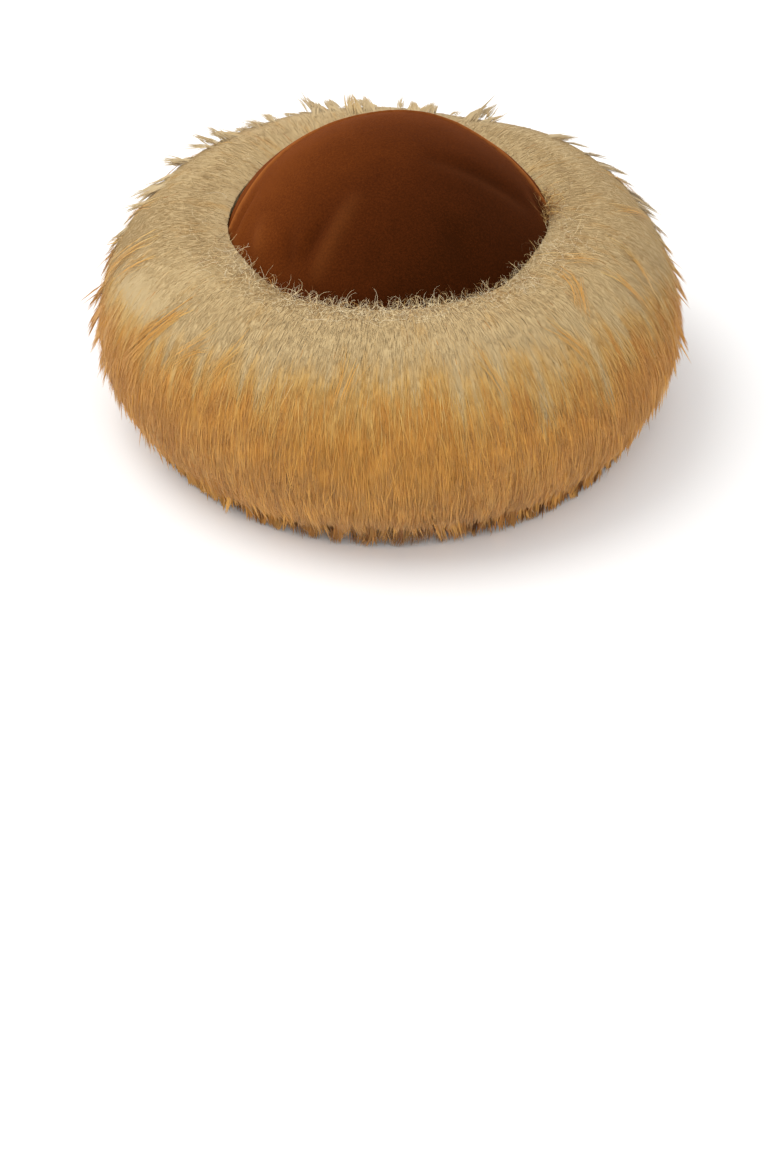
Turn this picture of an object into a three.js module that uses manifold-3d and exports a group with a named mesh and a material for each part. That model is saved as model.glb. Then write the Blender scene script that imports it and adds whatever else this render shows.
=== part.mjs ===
// A fur hat: a high round crown of two brown suede panels, inside a deep ring of long fur.
// Millimetres, +Z up. The hat rests on its fur. The origin is on that surface, under the
// middle of the hat. X is across the head and Y is along it.
import * as THREE from "three";
import { mergeVertices } from "three/addons/utils/BufferGeometryUtils.js";
import Module from "manifold-3d";

const wasm = await Module();
wasm.setup();

// Half widths of the outside of the crown, across and along the head, at its rim and at its belly.
const rim = { z: 12, across: 89, along: 98 };
const belly = { z: 95, across: 97, along: 105 };
const crownTop = 177;
const domeFullness = 1.9; // 2 is an ellipse, and more is squarer
const suedeThickness = 2;
const gap = 0.5;
const crownFacets = { round: 52, outside: { dome: 8, wall: 3 }, inside: { dome: 6, wall: 2 } };

// The seam between the panels runs from side to side over the crown. Seen from the side, it
// stands upright inside the fur and leans back above it, to pass behind the top.
const seamLine = [
  { z: -30, y: -4 },
  { z: 90, y: -4 },
  { z: 120, y: -2 },
  { z: 140, y: 10 },
  { z: 160, y: 38 },
  { z: 200, y: 100 },
];
const seamSkew = 0.04; // of its distance to the right
const welt = { halfWidth: 1.9, proud: 1.1, corners: 6, steps: 44, aboveRim: 3 };

// Soft folds in the suede. Azimuth runs anticlockwise from +X, and the folds stand upright.
const crownFolds = [
  { azimuth: 242, z: 146, halfAngle: 6, halfHeight: 26, depth: 2.0 },
  { azimuth: 254, z: 150, halfAngle: 6, halfHeight: 28, depth: -1.6 },
  { azimuth: 222, z: 132, halfAngle: 7, halfHeight: 18, depth: 1.4 },
  { azimuth: 38, z: 140, halfAngle: 12, halfHeight: 22, depth: -1.8 },
  { azimuth: 142, z: 140, halfAngle: 12, halfHeight: 22, depth: -1.6 },
];

// The section of the fur ring, row by row, from the crown to the foot. Each row of locks stands
// out of the fur at a place outside the crown and at a height, and points the way its hair grows,
// in degrees above level.
const lockRows = [
  { row: "collar", out: -2, z: 114, length: 14, rise: 86 },
  { row: "brow", out: 12, z: 116, length: 16, rise: 46 },
  { row: "crest", out: 25, z: 113, length: 18, rise: 32 },
  { row: "shoulder", out: 38, z: 105, length: 18, rise: 20 },
  { row: "upper flank", out: 49, z: 93, length: 18, rise: 8 },
  { row: "flank", out: 57, z: 79, length: 18, rise: 0 },
  { row: "waist", out: 61, z: 63, length: 18, rise: -7 },
  { row: "equator", out: 62, z: 47, length: 18, rise: -14 },
  { row: "skirt", out: 59, z: 31, length: 18, rise: -26 },
  { row: "hem", out: 51, z: 17, length: 19, rise: -44 },
];
const locksInRow = 52; // a multiple of 4
const lock = {
  notch: 0.25, // how far the hair between two locks stands out, of a lock's length
  bulge: 3, // how far its back rises at its middle
  shortest: 0.7, // of its row's length
  stray: 0.3, // how far a tip strays sideways, of its pitch
};
const foot = { out: 30, z: 0 }; // the outer edge of the flat that the hat rests on
const underHem = { out: 42, z: 4 }; // where a row below the hem would have its roots
const underBand = { out: -14, top: 106 }; // well inside the crown, where the band is cut to fit it

// How full the fur is round the hat: more or less far out than its section, and lifted by millimetres.
const fullness = [
  { azimuth: 0, reach: 0.98, lift: 5 },
  { azimuth: 45, reach: 1.03, lift: 8 },
  { azimuth: 90, reach: 1.02, lift: 12 },
  { azimuth: 135, reach: 1.1, lift: 14 },
  { azimuth: 180, reach: 1.07, lift: 9 },
  { azimuth: 225, reach: 0.99, lift: 10 },
  { azimuth: 270, reach: 1.05, lift: 10 },
  { azimuth: 315, reach: 1.03, lift: 8 },
];

const suede = new THREE.MeshStandardMaterial({ name: "crown_suede", color: 0x6a3416, roughness: 0.95 });
const fur = new THREE.MeshStandardMaterial({ name: "fur", color: 0xc69a58, roughness: 0.9 });

// Half widths of the crown at a height, inside or outside by an inset.
function halfWidths(z, inset = 0) {
  const rise = THREE.MathUtils.clamp((z - rim.z) / (belly.z - rim.z), 0, 1);
  const swell = Math.sin((rise * Math.PI) / 2);
  const up = THREE.MathUtils.clamp((z - belly.z) / (crownTop - inset - belly.z), 0, 1);
  const dome = Math.pow(1 - Math.pow(up, domeFullness), 1 / domeFullness);
  return {
    across: (THREE.MathUtils.lerp(rim.across, belly.across, swell) - inset) * dome,
    along: (THREE.MathUtils.lerp(rim.along, belly.along, swell) - inset) * dome,
  };
}

function meanHalfWidth(z, inset) {
  const at = halfWidths(z, inset);
  return (at.across + at.along) / 2;
}

// Profile points from the middle of the top down to the rim, on the surface at an inset.
function crownProfile(inset, steps) {
  const points = [];
  const height = crownTop - inset - belly.z;
  for (let i = 0; i < steps.dome; i += 1) {
    const z = belly.z + height * Math.cos(((i / steps.dome) * Math.PI) / 2);
    points.push(new THREE.Vector2(i === 0 ? 0 : meanHalfWidth(z, inset), z));
  }
  for (let i = 0; i <= steps.wall; i += 1) {
    const z = THREE.MathUtils.lerp(belly.z, rim.z, i / steps.wall);
    points.push(new THREE.Vector2(meanHalfWidth(z, inset), z));
  }
  return points;
}

// Turns a profile about Z. The profile runs so that its faces point out.
function turned(profile) {
  return new THREE.LatheGeometry(profile, crownFacets.round).rotateX(Math.PI / 2);
}

// Moves every vertex of a geometry by a function of its place.
function reshape(geometry, place) {
  const position = geometry.attributes.position;
  const at = new THREE.Vector3();
  for (let i = 0; i < position.count; i += 1) {
    place(at.fromBufferAttribute(position, i));
    position.setXYZ(i, at.x, at.y, at.z);
  }
  return geometry;
}

// Stretches round rings to the oval that the crown has at their height.
function toOval(at) {
  const widths = halfWidths(Math.min(at.z, belly.z));
  const mean = (widths.across + widths.along) / 2;
  at.x *= widths.across / mean;
  at.y *= widths.along / mean;
}

function angleBetween(a, b) {
  return ((a - b + 540) % 360) - 180;
}

// Presses the folds into the crown.
function foldCrown(at) {
  const azimuth = THREE.MathUtils.radToDeg(Math.atan2(at.y, at.x));
  let depth = 0;
  for (const fold of crownFolds) {
    const aside = angleBetween(azimuth, fold.azimuth) / fold.halfAngle;
    const above = (at.z - fold.z) / fold.halfHeight;
    depth += fold.depth * Math.exp(-aside * aside - above * above);
  }
  const radius = Math.hypot(at.x, at.y);
  if (radius > 1) {
    at.x -= (depth * at.x) / radius;
    at.y -= (depth * at.y) / radius;
  }
}

function solid(geometry) {
  geometry.deleteAttribute("normal");
  geometry.deleteAttribute("uv");
  const merged = mergeVertices(geometry, 1e-3);
  return new wasm.Manifold(
    new wasm.Mesh({
      numProp: 3,
      vertProperties: merged.attributes.position.array,
      triVerts: new Uint32Array(merged.index.array),
    }),
  );
}

function mesh(name, body, material) {
  const made = body.getMesh();
  const geometry = new THREE.BufferGeometry();
  geometry.setAttribute("position", new THREE.BufferAttribute(made.vertProperties, 3));
  geometry.setIndex(new THREE.BufferAttribute(made.triVerts, 1));
  geometry.computeVertexNormals();
  const part = new THREE.Mesh(geometry, material);
  part.name = name;
  return part;
}

// The whole crown, hollow and open at the rim.
function crownShell() {
  const outside = crownProfile(0, crownFacets.outside);
  const inside = crownProfile(suedeThickness, crownFacets.inside).reverse();
  const shell = turned([...outside, ...inside].reverse());
  return solid(reshape(reshape(shell, toOval), foldCrown));
}

// The space that the crown and the head take, down through the foot of the fur.
function crownCore() {
  const below = -20;
  const profile = crownProfile(-gap, crownFacets.outside);
  profile.push(new THREE.Vector2(profile.at(-1).x, below), new THREE.Vector2(0, below));
  return solid(reshape(reshape(turned(profile.reverse()), toOval), foldCrown));
}

function seamY(x, z) {
  const after = seamLine.findIndex((p) => p.z > z);
  const from = seamLine[after - 1];
  const to = seamLine[after];
  return seamSkew * x + THREE.MathUtils.mapLinear(z, from.z, to.z, from.y, to.y);
}

// Points on the crown's outside along the seam, from rim to rim over the top.
function seamCurve() {
  const halvings = 30;
  const seamFoot = rim.z + welt.aboveRim;
  const points = [];
  for (let i = 0; i <= welt.steps; i += 1) {
    const turn = Math.PI * (i / welt.steps);
    const ray = new THREE.Vector3(Math.cos(turn), 0, Math.sin(turn));
    let near = 0;
    let far = crownTop;
    for (let halving = 0; halving < halvings; halving += 1) {
      const reach = (near + far) / 2;
      const x = ray.x * reach;
      const z = seamFoot + ray.z * reach;
      const widths = halfWidths(z);
      const within = z < crownTop && Math.hypot(x / widths.across, seamY(x, z) / widths.along) < 1;
      if (within) near = reach;
      else far = reach;
    }
    const x = ray.x * near;
    const z = seamFoot + ray.z * near;
    points.push(new THREE.Vector3(x, seamY(x, z), z));
  }
  for (const point of points) foldCrown(point);
  return new THREE.CatmullRomCurve3(points);
}

// A rounded ridge along the seam, of which the front panel's side is kept.
function weltTube(extra = 0) {
  const section = new THREE.Shape();
  for (let i = 0; i < welt.corners; i += 1) {
    const turn = (i / welt.corners) * 2 * Math.PI;
    const x = (welt.halfWidth + extra) * Math.cos(turn);
    const y = (welt.halfWidth + extra) * Math.sin(turn);
    if (i === 0) section.moveTo(x, y);
    else section.lineTo(x, y);
  }
  section.closePath();
  const inward = welt.halfWidth - welt.proud;
  const middle = new THREE.Vector3(0, seamLine[0].y, belly.z);
  const line = seamCurve().getPoints(welt.steps);
  const sunk = line.map((p) => p.clone().add(middle.clone().sub(p).setLength(inward)));
  const path = new THREE.CatmullRomCurve3(sunk);
  const sweep = { extrudePath: path, steps: welt.steps, bevelEnabled: false };
  return solid(new THREE.ExtrudeGeometry(section, sweep));
}

// All the space on one side of the seam, in front of it or behind, half a gap away from it.
function seamSide(side) {
  const reach = 300;
  const outline = new THREE.Shape();
  outline.moveTo(side * reach, seamLine[0].z);
  for (const { y, z } of seamLine) outline.lineTo(y + (side * gap) / 2, z);
  outline.lineTo(side * reach, seamLine.at(-1).z);
  outline.closePath();
  const slab = new THREE.ExtrudeGeometry(outline, { depth: 2 * reach, bevelEnabled: false });
  slab.translate(0, 0, -reach);
  const turn = new THREE.Matrix4().set(0, 0, 1, 0, 1, 0, seamSkew, 0, 0, 1, 0, 0, 0, 0, 0, 1);
  return solid(slab.applyMatrix4(turn));
}

function fullnessAt(angle) {
  const steps = fullness.length;
  const place = (((angle / (2 * Math.PI)) * steps) % steps + steps) % steps;
  const from = fullness[Math.floor(place) % steps];
  const to = fullness[(Math.floor(place) + 1) % steps];
  const share = THREE.MathUtils.smoothstep(place % 1, 0, 1);
  return {
    reach: THREE.MathUtils.lerp(from.reach, to.reach, share),
    lift: THREE.MathUtils.lerp(from.lift, to.lift, share),
  };
}

// Where a point outside the crown's belly lies: an angle round the oval, how far out, and how high.
function outsideCrown(angle, out, z) {
  const across = Math.cos(angle);
  const along = Math.sin(angle);
  const normal = new THREE.Vector3(across / belly.across, along / belly.along, 0).normalize();
  const { reach, lift } = fullnessAt(angle);
  const at = new THREE.Vector3(belly.across * across, belly.along * along, 0);
  return at.addScaledVector(normal, out * (out > 0 ? reach : 1)).setZ(z + (lift * z) / crownTop);
}

// The section of the fur at one of the steps round the ring. Every second step is a tip in one
// row and a notch in the next. A point may stray sideways, by a share of a step.
function furSection(step) {
  const points = [];
  lockRows.forEach((row, index) => {
    const chance = (k) => THREE.MathUtils.seededRandom(4000 * index + 10 * step + k + 1);
    const squareOn = row.row === "waist" && step % (locksInRow / 2) === 0; // these set the hat's size
    const isTip = (step + index) % 2 === 0;
    const share = THREE.MathUtils.lerp(lock.shortest, 1, squareOn ? 1 : chance(0));
    const length = row.length * (isTip ? share : lock.notch);
    const aside = isTip && !squareOn ? (chance(1) - 0.5) * 2 * lock.stray : 0;
    const rise = THREE.MathUtils.degToRad(row.rise);
    const way = new THREE.Vector2(Math.cos(rise), Math.sin(rise));
    const root = new THREE.Vector2(row.out, row.z);
    const back = root.clone().addScaledVector(way, length / 2);
    back.addScaledVector(new THREE.Vector2(-way.y, way.x), isTip ? lock.bulge : 0);
    const below = lockRows[index + 1] ?? underHem;
    const valley = new THREE.Vector2((row.out + below.out) / 2, (row.z + below.z) / 2);
    points.push({ at: back, aside: aside / 2 });
    points.push({ at: root.clone().addScaledVector(way, length), aside });
    points.push({ at: valley, aside: 0 });
  });
  points.push({ at: new THREE.Vector2(foot.out, foot.z), aside: 0 });
  points.push({ at: new THREE.Vector2(underBand.out, foot.z), aside: 0 });
  points.push({ at: new THREE.Vector2(underBand.out, underBand.top), aside: 0 });
  return points;
}

// The ring of fur, with its rows of pointed locks all round.
function furRing() {
  const steps = 2 * locksInRow;
  const points = [];
  const corners = [];
  for (let step = 0; step < steps; step += 1) {
    const section = furSection(step);
    const lines = section.length;
    for (const { at, aside } of section) {
      points.push(outsideCrown(((step + aside) / steps) * 2 * Math.PI, at.x, at.y));
    }
    for (let line = 0; line < lines; line += 1) {
      const here = lines * step;
      const next = lines * ((step + 1) % steps);
      const after = (line + 1) % lines;
      corners.push(here + line, here + after, next + line, here + after, next + after, next + line);
    }
  }
  const geometry = new THREE.BufferGeometry().setFromPoints(points);
  geometry.setIndex(corners);
  return solid(geometry);
}

function furBand() {
  return furRing().subtract(crownCore()).subtract(weltTube(gap));
}

const shell = crownShell();
const front = shell.add(weltTube()).intersect(seamSide(-1));
const back = shell.intersect(seamSide(1));

const hat = new THREE.Group();
hat.add(mesh("crown_front_panel", front, suede));
hat.add(mesh("crown_back_panel", back, suede));
hat.add(mesh("fur_band", furBand(), fur));

// The fur is fuller on some sides, so the hat's middle isn't the crown's. It moves to the origin.
const middle = new THREE.Box3().setFromObject(hat).getCenter(new THREE.Vector3());
hat.position.set(-middle.x, -middle.y, 0);

export default hat;
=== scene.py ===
import bmesh
import bpy
import math
import numpy as np
from mathutils import Matrix, Vector, noise
from mathutils.kdtree import KDTree


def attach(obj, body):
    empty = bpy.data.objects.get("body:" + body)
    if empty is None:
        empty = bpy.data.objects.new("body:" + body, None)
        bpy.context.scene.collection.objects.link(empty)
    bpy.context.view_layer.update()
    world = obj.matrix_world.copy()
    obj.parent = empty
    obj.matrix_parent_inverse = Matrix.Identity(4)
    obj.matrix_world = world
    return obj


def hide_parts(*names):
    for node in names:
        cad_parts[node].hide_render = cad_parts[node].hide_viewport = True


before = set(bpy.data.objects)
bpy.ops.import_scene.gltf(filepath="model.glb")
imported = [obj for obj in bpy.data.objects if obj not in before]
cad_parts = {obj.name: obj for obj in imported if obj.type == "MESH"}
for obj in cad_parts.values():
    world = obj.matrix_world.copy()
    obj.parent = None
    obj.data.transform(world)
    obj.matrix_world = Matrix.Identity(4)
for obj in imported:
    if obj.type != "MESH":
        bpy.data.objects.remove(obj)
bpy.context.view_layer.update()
scene = bpy.context.scene
mm = 0.001  # the sizes below are in millimetres, and Blender's are in metres


# ---- the hat's form, which every piece follows

form = {
    "middle": (3.55, 1.18),  # the crown's own middle, because the fur is fuller on the left
    "rimZ": 12.0, "rimAcross": 89.0, "rimAlong": 98.0,
    "bellyZ": 95.0, "bellyAcross": 98.5, "bellyAlong": 105.0,
    "top": 177.0,
    "domeFullness": 1.9,  # 2 is an ellipse, and more is squarer
}

# the seam over the crown, seen from the side: height, and how far back it is
seamLine = [(-30, -4), (60, -4), (90, -4), (120, -2), (140, 10), (160, 38), (200, 100)]
seamSkew = 0.04  # how much further back it is at the right, of the distance


def halfWidths(z, inset=0.0):
    # half of the crown's width across and along the head at a height
    z = np.asarray(z, float)
    rise = np.clip((z - form["rimZ"]) / (form["bellyZ"] - form["rimZ"]), 0, 1)
    swell = np.sin(rise * np.pi / 2)
    up = np.clip((z - form["bellyZ"]) / (form["top"] - inset - form["bellyZ"]), 0, 1)
    dome = (1 - up ** form["domeFullness"]) ** (1 / form["domeFullness"])
    across = (form["rimAcross"] + (form["bellyAcross"] - form["rimAcross"]) * swell - inset) * dome
    along = (form["rimAlong"] + (form["bellyAlong"] - form["rimAlong"]) * swell - inset) * dome
    return across, along


def smoothTable(x, rows, column):
    # a smooth curve through a table's rows, which are in order of their first column
    keys = np.array([row[0] for row in rows], float)
    values = np.array([row[column] for row in rows], float)
    slopes = np.gradient(values, keys)
    x = np.clip(x, keys[0], keys[-1])
    i = np.clip(np.searchsorted(keys, x, side="right") - 1, 0, len(keys) - 2)
    span = keys[i + 1] - keys[i]
    t = (x - keys[i]) / span
    return ((2 * t**3 - 3 * t**2 + 1) * values[i] + (t**3 - 2 * t**2 + t) * span * slopes[i]
            + (3 * t**2 - 2 * t**3) * values[i + 1] + (t**3 - t**2) * span * slopes[i + 1])


def roundTable(azimuth, rows, column):
    # the same for a table that goes round the hat, by degrees from +X
    turned = [(row[0] - 360, *row[1:]) for row in rows] + list(rows)
    turned += [(row[0] + 360, *row[1:]) for row in rows]
    return smoothTable(np.mod(azimuth, 360), turned, column)


def smoothStep(low, high, x):
    t = np.clip((x - low) / (high - low), 0, 1)
    return t * t * (3 - 2 * t)


def seamBack(x, z):
    return smoothTable(z, seamLine, 1) + seamSkew * x


def ripple(points, size, seed):
    # smooth noise from -1 to 1 at points in millimetres, with bumps of about that size
    offset = Vector((seed * 17.3, seed * 5.1, seed * 9.7))
    return np.array([noise.noise(Vector(p) / size + offset) for p in points])


def takeMesh(name, bm):
    mesh = bpy.data.meshes.new(name)
    bm.to_mesh(mesh)
    bm.free()
    return mesh


def keepMesh(name, mesh, material=None):
    piece = bpy.data.objects.new(name, mesh)
    scene.collection.objects.link(piece)
    if material:
        mesh.materials.append(material)
    mesh.shade_smooth()
    return piece


# ---- shader maths

class Link:
    # a value in a material. Sums on it add Math nodes.
    def __init__(self, tree, output=None):
        self.tree, self.output = tree, output

    def node(self, kind, settings=None, inputs=None, output=0):
        made = self.tree.nodes.new(kind)
        for key, value in (settings or {}).items():
            if key == "stops":
                ramp = made.color_ramp.elements
                while len(ramp) < len(value):
                    ramp.new(0.5)
                for element, (place, colour) in zip(ramp, value):
                    element.position, element.color = place, (*colour, 1)
            else:
                setattr(made, key, value)
        for key, value in (inputs or {}).items():
            if isinstance(value, Link):
                self.tree.links.new(value.output, made.inputs[key])
            else:
                made.inputs[key].default_value = value
        return Link(self.tree, made.outputs[output])

    def maths(self, operation, first, second=0.0):
        return self.node("ShaderNodeMath", {"operation": operation}, {0: first, 1: second})

    def __add__(self, other): return self.maths("ADD", self, other)
    def __radd__(self, other): return self.maths("ADD", other, self)
    def __sub__(self, other): return self.maths("SUBTRACT", self, other)
    def __rsub__(self, other): return self.maths("SUBTRACT", other, self)
    def __mul__(self, other): return self.maths("MULTIPLY", self, other)
    def __rmul__(self, other): return self.maths("MULTIPLY", other, self)
    def __truediv__(self, other): return self.maths("DIVIDE", self, other)

    def between(self, low, high, fromLow=0.0, fromHigh=1.0):
        # this value, from one range to another, and no further
        return self.node("ShaderNodeMapRange", {"clamp": True},
                         {"Value": self, "From Min": fromLow, "From Max": fromHigh,
                          "To Min": low, "To Max": high})

    def ramp(self, *stops):
        return self.node("ShaderNodeValToRGB", {"stops": stops}, {"Fac": self})

    def texture(self, scale, detail, roughness=0.5, distortion=0.0):
        # noise over this coordinate
        return self.node("ShaderNodeTexNoise", None,
                         {"Vector": self, "Scale": scale, "Detail": detail,
                          "Roughness": roughness, "Distortion": distortion})

    def apart(self):
        # the first two numbers of this vector
        made = self.node("ShaderNodeSeparateXYZ", None, {"Vector": self})
        return made, Link(self.tree, made.output.node.outputs["Y"])

    def bump(self, strength, distance):
        # a surface that stands up by this value, at most by a distance in metres
        return self.node("ShaderNodeBump", None,
                         {"Strength": strength, "Distance": distance, "Height": self})

    def into(self, shader, socket):
        self.tree.links.new(self.output, shader.inputs[socket])

    def mix(self, first, second):
        # two colours, mixed by this value
        made = self.node("ShaderNodeMix", {"data_type": "RGBA"}, {0: self}, 2)
        for index, colour in ((6, first), (7, second)):  # the sockets of its two colours
            target = made.output.node.inputs[index]
            if isinstance(colour, Link):
                self.tree.links.new(colour.output, target)
            else:
                target.default_value = (*colour, 1)
        return made


def newMaterial(name, finish):
    # a material with what is the same all over it, a start for its nodes, and its shader
    material = bpy.data.materials.new(name)
    material.use_nodes = True
    tree = material.node_tree
    shader = next(n for n in tree.nodes if n.type == "BSDF_PRINCIPLED")
    for socket, value in finish.items():
        shader.inputs[socket].default_value = value
    return material, Link(tree), shader


def srgb(red, green, blue):
    # a colour as it is seen on a screen, from 0 to 255, as the shader wants it
    return tuple(((c / 255 + 0.055) / 1.055) ** 2.4 if c > 10 else c / 255 / 12.92
                 for c in (red, green, blue))


# ---- camera, light and floor

view = {
    "elevation": 30.0,  # of the sight line to the hat, in degrees
    "distance": 1600.0,
    "lookedAt": (3.55, 1.18, 90.0),
    "atPixel": (401, 268),  # where that point stands in the picture
    "picture": (768, 1151),
    "roll": -2.2,
    "lens": 85.0,
    "sensor": 36.0,
}


def addCamera():
    pixels = view["lens"] / view["sensor"] * view["picture"][1]
    aside = (view["atPixel"][0] - view["picture"][0] / 2) / pixels
    above = (view["picture"][1] / 2 - view["atPixel"][1]) / pixels
    elevation = math.radians(view["elevation"])
    pitch = elevation + math.atan(above)
    back = Vector((0, -math.cos(elevation), math.sin(elevation))) * view["distance"]
    place = Vector(view["lookedAt"]) + back - Vector((aside * view["distance"], 0, 0))
    ahead = Vector((0, math.cos(pitch), -math.sin(pitch)))
    right = Vector((1, 0, 0))
    up = right.cross(ahead)
    roll = math.radians(view["roll"])
    sideways = right * math.cos(roll) + up * math.sin(roll)
    upwards = up * math.cos(roll) - right * math.sin(roll)
    data = bpy.data.cameras.new("camera")
    data.lens, data.sensor_width = view["lens"], view["sensor"]
    camera = bpy.data.objects.new("camera", data)
    scene.collection.objects.link(camera)
    camera.rotation_euler = Matrix((sideways, upwards, -ahead)).transposed().to_euler()
    camera.location = place * mm
    scene.camera = camera


lights = [
    # name, place in metres, size, power, colour
    ("keyLight", (-0.95, 0.15, 1.75), 1.7, 22, (1.0, 0.985, 0.96)),
    ("fillLight", (0.5, -1.9, 1.2), 2.0, 12, (0.98, 0.99, 1.0)),
]

room = {
    "lightsAimAt": (0, 0, 0.08),
    "brightness": 0.95,  # of the white all round
    "floorHalf": 6.0,
    "floorZ": -0.0002,  # just under what the hat rests on
    "floorFinish": {"Base Color": (0.9, 0.9, 0.9, 1), "Roughness": 0.9},
}


def addLights():
    for name, place, size, power, colour in lights:
        data = bpy.data.lights.new(name, "AREA")
        data.shape, data.size, data.energy, data.color = "DISK", size, power, colour
        light = bpy.data.objects.new(name, data)
        scene.collection.objects.link(light)
        light.location = place
        aim = Vector(room["lightsAimAt"]) - Vector(place)
        light.rotation_euler = aim.to_track_quat("-Z", "Y").to_euler()
    world = bpy.data.worlds.new("paleRoom")
    scene.world = world
    world.use_nodes = True
    background = world.node_tree.nodes["Background"]
    background.inputs["Color"].default_value = (1, 1, 1, 1)
    background.inputs["Strength"].default_value = room["brightness"]
    scene.view_settings.view_transform = "Standard"


def addFloor():
    bm = bmesh.new()
    bmesh.ops.create_grid(bm, x_segments=1, y_segments=1, size=room["floorHalf"])
    bmesh.ops.translate(bm, vec=(0, 0, room["floorZ"]), verts=bm.verts)
    material = newMaterial("paleFloor", room["floorFinish"])[0]
    keepMesh("floor", takeMesh("floor", bm), material)


addCamera()
addLights()
addFloor()
print("camera, light and floor are ready")


# ---- the crown: two panels of brown suede with a raised seam between them

crown = {
    "thickness": 2.0,
    "gap": 0.5,  # between the two panels, inside the seam
    "segments": 176,
    "fineFrom": 95, "fineBeside": 7,  # above that height and so near the seam, faces are finer
    "ridge": 1.0,  # how far the seam's edge stands up
    "ridgeWidth": 2.6,
    "pucker": 0.35,
    "middleZ": 70.0,  # outward is away from this height in the middle
    "unevenness": 0.9,  # how far the cloth wanders from a true dome
    "foldStrength": 1.8,
    "flatTop": (15, 60),  # the sags start so far from the middle, and the seam's puckers too
}
crownSags = [
    # azimuth, height, half angle, half height, depth: where the soft dome sinks or swells
    (150, 146, 34, 22, 1.2), (112, 164, 24, 10, 1.2), (56, 163, 24, 10, -1.2),
    (10, 122, 20, 22, -1.8), (222, 134, 26, 16, 1.0),
]
crownFolds = [
    # from azimuth and height, to azimuth and height, half width, depth: below zero it is a ridge
    (241.5, 132, 249, 163, 5.0, -1.5), (233.5, 136, 236.5, 156, 3.6, 1.9),
    (228.5, 131, 221, 146, 5.0, 1.7), (212.5, 130, 205, 142, 5.5, -1.5),
    (325, 171, 345, 141, 6.5, 1.6), (190, 125, 183, 146, 2.6, 1.0), (196, 124, 190, 140, 3.0, -0.8),
    (262, 134, 267, 150, 6.0, 0.6), (300, 134, 296, 156, 8.0, 0.7), (352, 122, 356, 138, 4.0, 0.9),
]

suede = {
    "cloth": [  # how light the cloth is, with its painted light and shade, and the colour
        (0.0, srgb(44, 16, 1)), (0.35, srgb(64, 26, 4)), (0.7, srgb(84, 38, 8)),
        (1.0, srgb(102, 50, 14)),
    ],
    "crest": srgb(156, 92, 44),  # a painted highlight along the seam's raised edge
    "finish": {
        "Roughness": 0.95, "Specular IOR Level": 0.04, "Sheen Weight": 0.18,
        "Sheen Roughness": 0.4, "Sheen Tint": (*srgb(220, 120, 50), 1),
    },
}


def suedeMaterial():
    material, link, shader = newMaterial("brownSuede", suede["finish"])
    place = link.node("ShaderNodeTexCoord", output="Object")
    nap = place.texture(900.0, 3.0, 0.7)
    grain = place.texture(2600.0, 2.0, 0.6)
    brushed = place.texture(28.0, 4.0, 0.55, 0.6)
    cloudy = place.texture(9.0, 2.0)
    # painted light and shade: the cloth is lighter at the left and the back, where the light falls,
    # and darker towards the front right
    across, ahead = place.apart()
    paintedSideLight = (0.67 - across * 5.7 + ahead * 5.2).between(0.12, 0.92, 0.1, 1.0)
    mottle = brushed * 0.4 + cloudy * 0.2 + nap + grain * 0.5 - 1.05
    # this attribute is painted light and shade: above zero it mixes in a painted highlight, below
    # zero it darkens as painted shade
    crest = link.node("ShaderNodeAttribute", {"attribute_name": "crest"}, output="Fac")
    shade = paintedSideLight + mottle * 0.9 + crest.between(-0.35, 0.0, -1.0, 0.0)
    colour = crest.between(0.0, 0.8).mix(shade.ramp(*suede["cloth"]), suede["crest"])
    colour.into(shader, "Base Color")
    (nap * 0.6 + grain * 0.4).bump(0.5, 0.0004).into(shader, "Normal")
    return material


def onCrown(azimuth, z):
    across, along = halfWidths(z)
    turn = math.radians(azimuth)
    return np.array((across * math.cos(turn), along * math.sin(turn), z))


def foldDepth(points):
    azimuth = np.degrees(np.arctan2(points[:, 1], points[:, 0]))
    sag = np.zeros(len(points))
    for turn, z, halfAngle, halfHeight, deep in crownSags:
        aside = (np.mod(azimuth - turn + 180, 360) - 180) / halfAngle
        above = (points[:, 2] - z) / halfHeight
        sag += deep * np.exp(-aside**2 - above**2)
    # the sags run out before the top, where they would meet
    depth = sag * smoothStep(*crown["flatTop"], np.hypot(points[:, 0], points[:, 1]))
    lines = np.zeros(len(points))
    for fromTurn, fromZ, toTurn, toZ, halfWidth, deep in crownFolds:
        start, end = onCrown(fromTurn, fromZ), onCrown(toTurn, toZ)
        run = end - start
        t = np.clip((points - start) @ run / (run @ run), 0, 1)
        off = np.linalg.norm(points - start - t[:, None] * run, axis=1) / halfWidth
        lines += deep * np.exp(-off**2) * (0.4 + 0.6 * np.sin(np.pi * t))
    return depth + lines * crown["foldStrength"], lines


def crownSection():
    # the shell's section, from the top down the outside and up the inside, as (x, z)
    thick = crown["thickness"]
    points = []
    for inset, steps in ((0.0, 64), (thick, 24)):
        height = form["top"] - inset - form["bellyZ"]
        z = form["bellyZ"] + height * np.cos(np.linspace(0, np.pi / 2, steps))
        low = np.linspace(form["bellyZ"], form["rimZ"], steps // 3)[1:]
        z = np.concatenate([z, low])
        across, along = halfWidths(z, inset)
        radius = (across + along) / 2
        radius[0] = 0.0
        side = list(zip(radius, z))
        points += side if inset == 0.0 else side[::-1]
    return points


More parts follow.
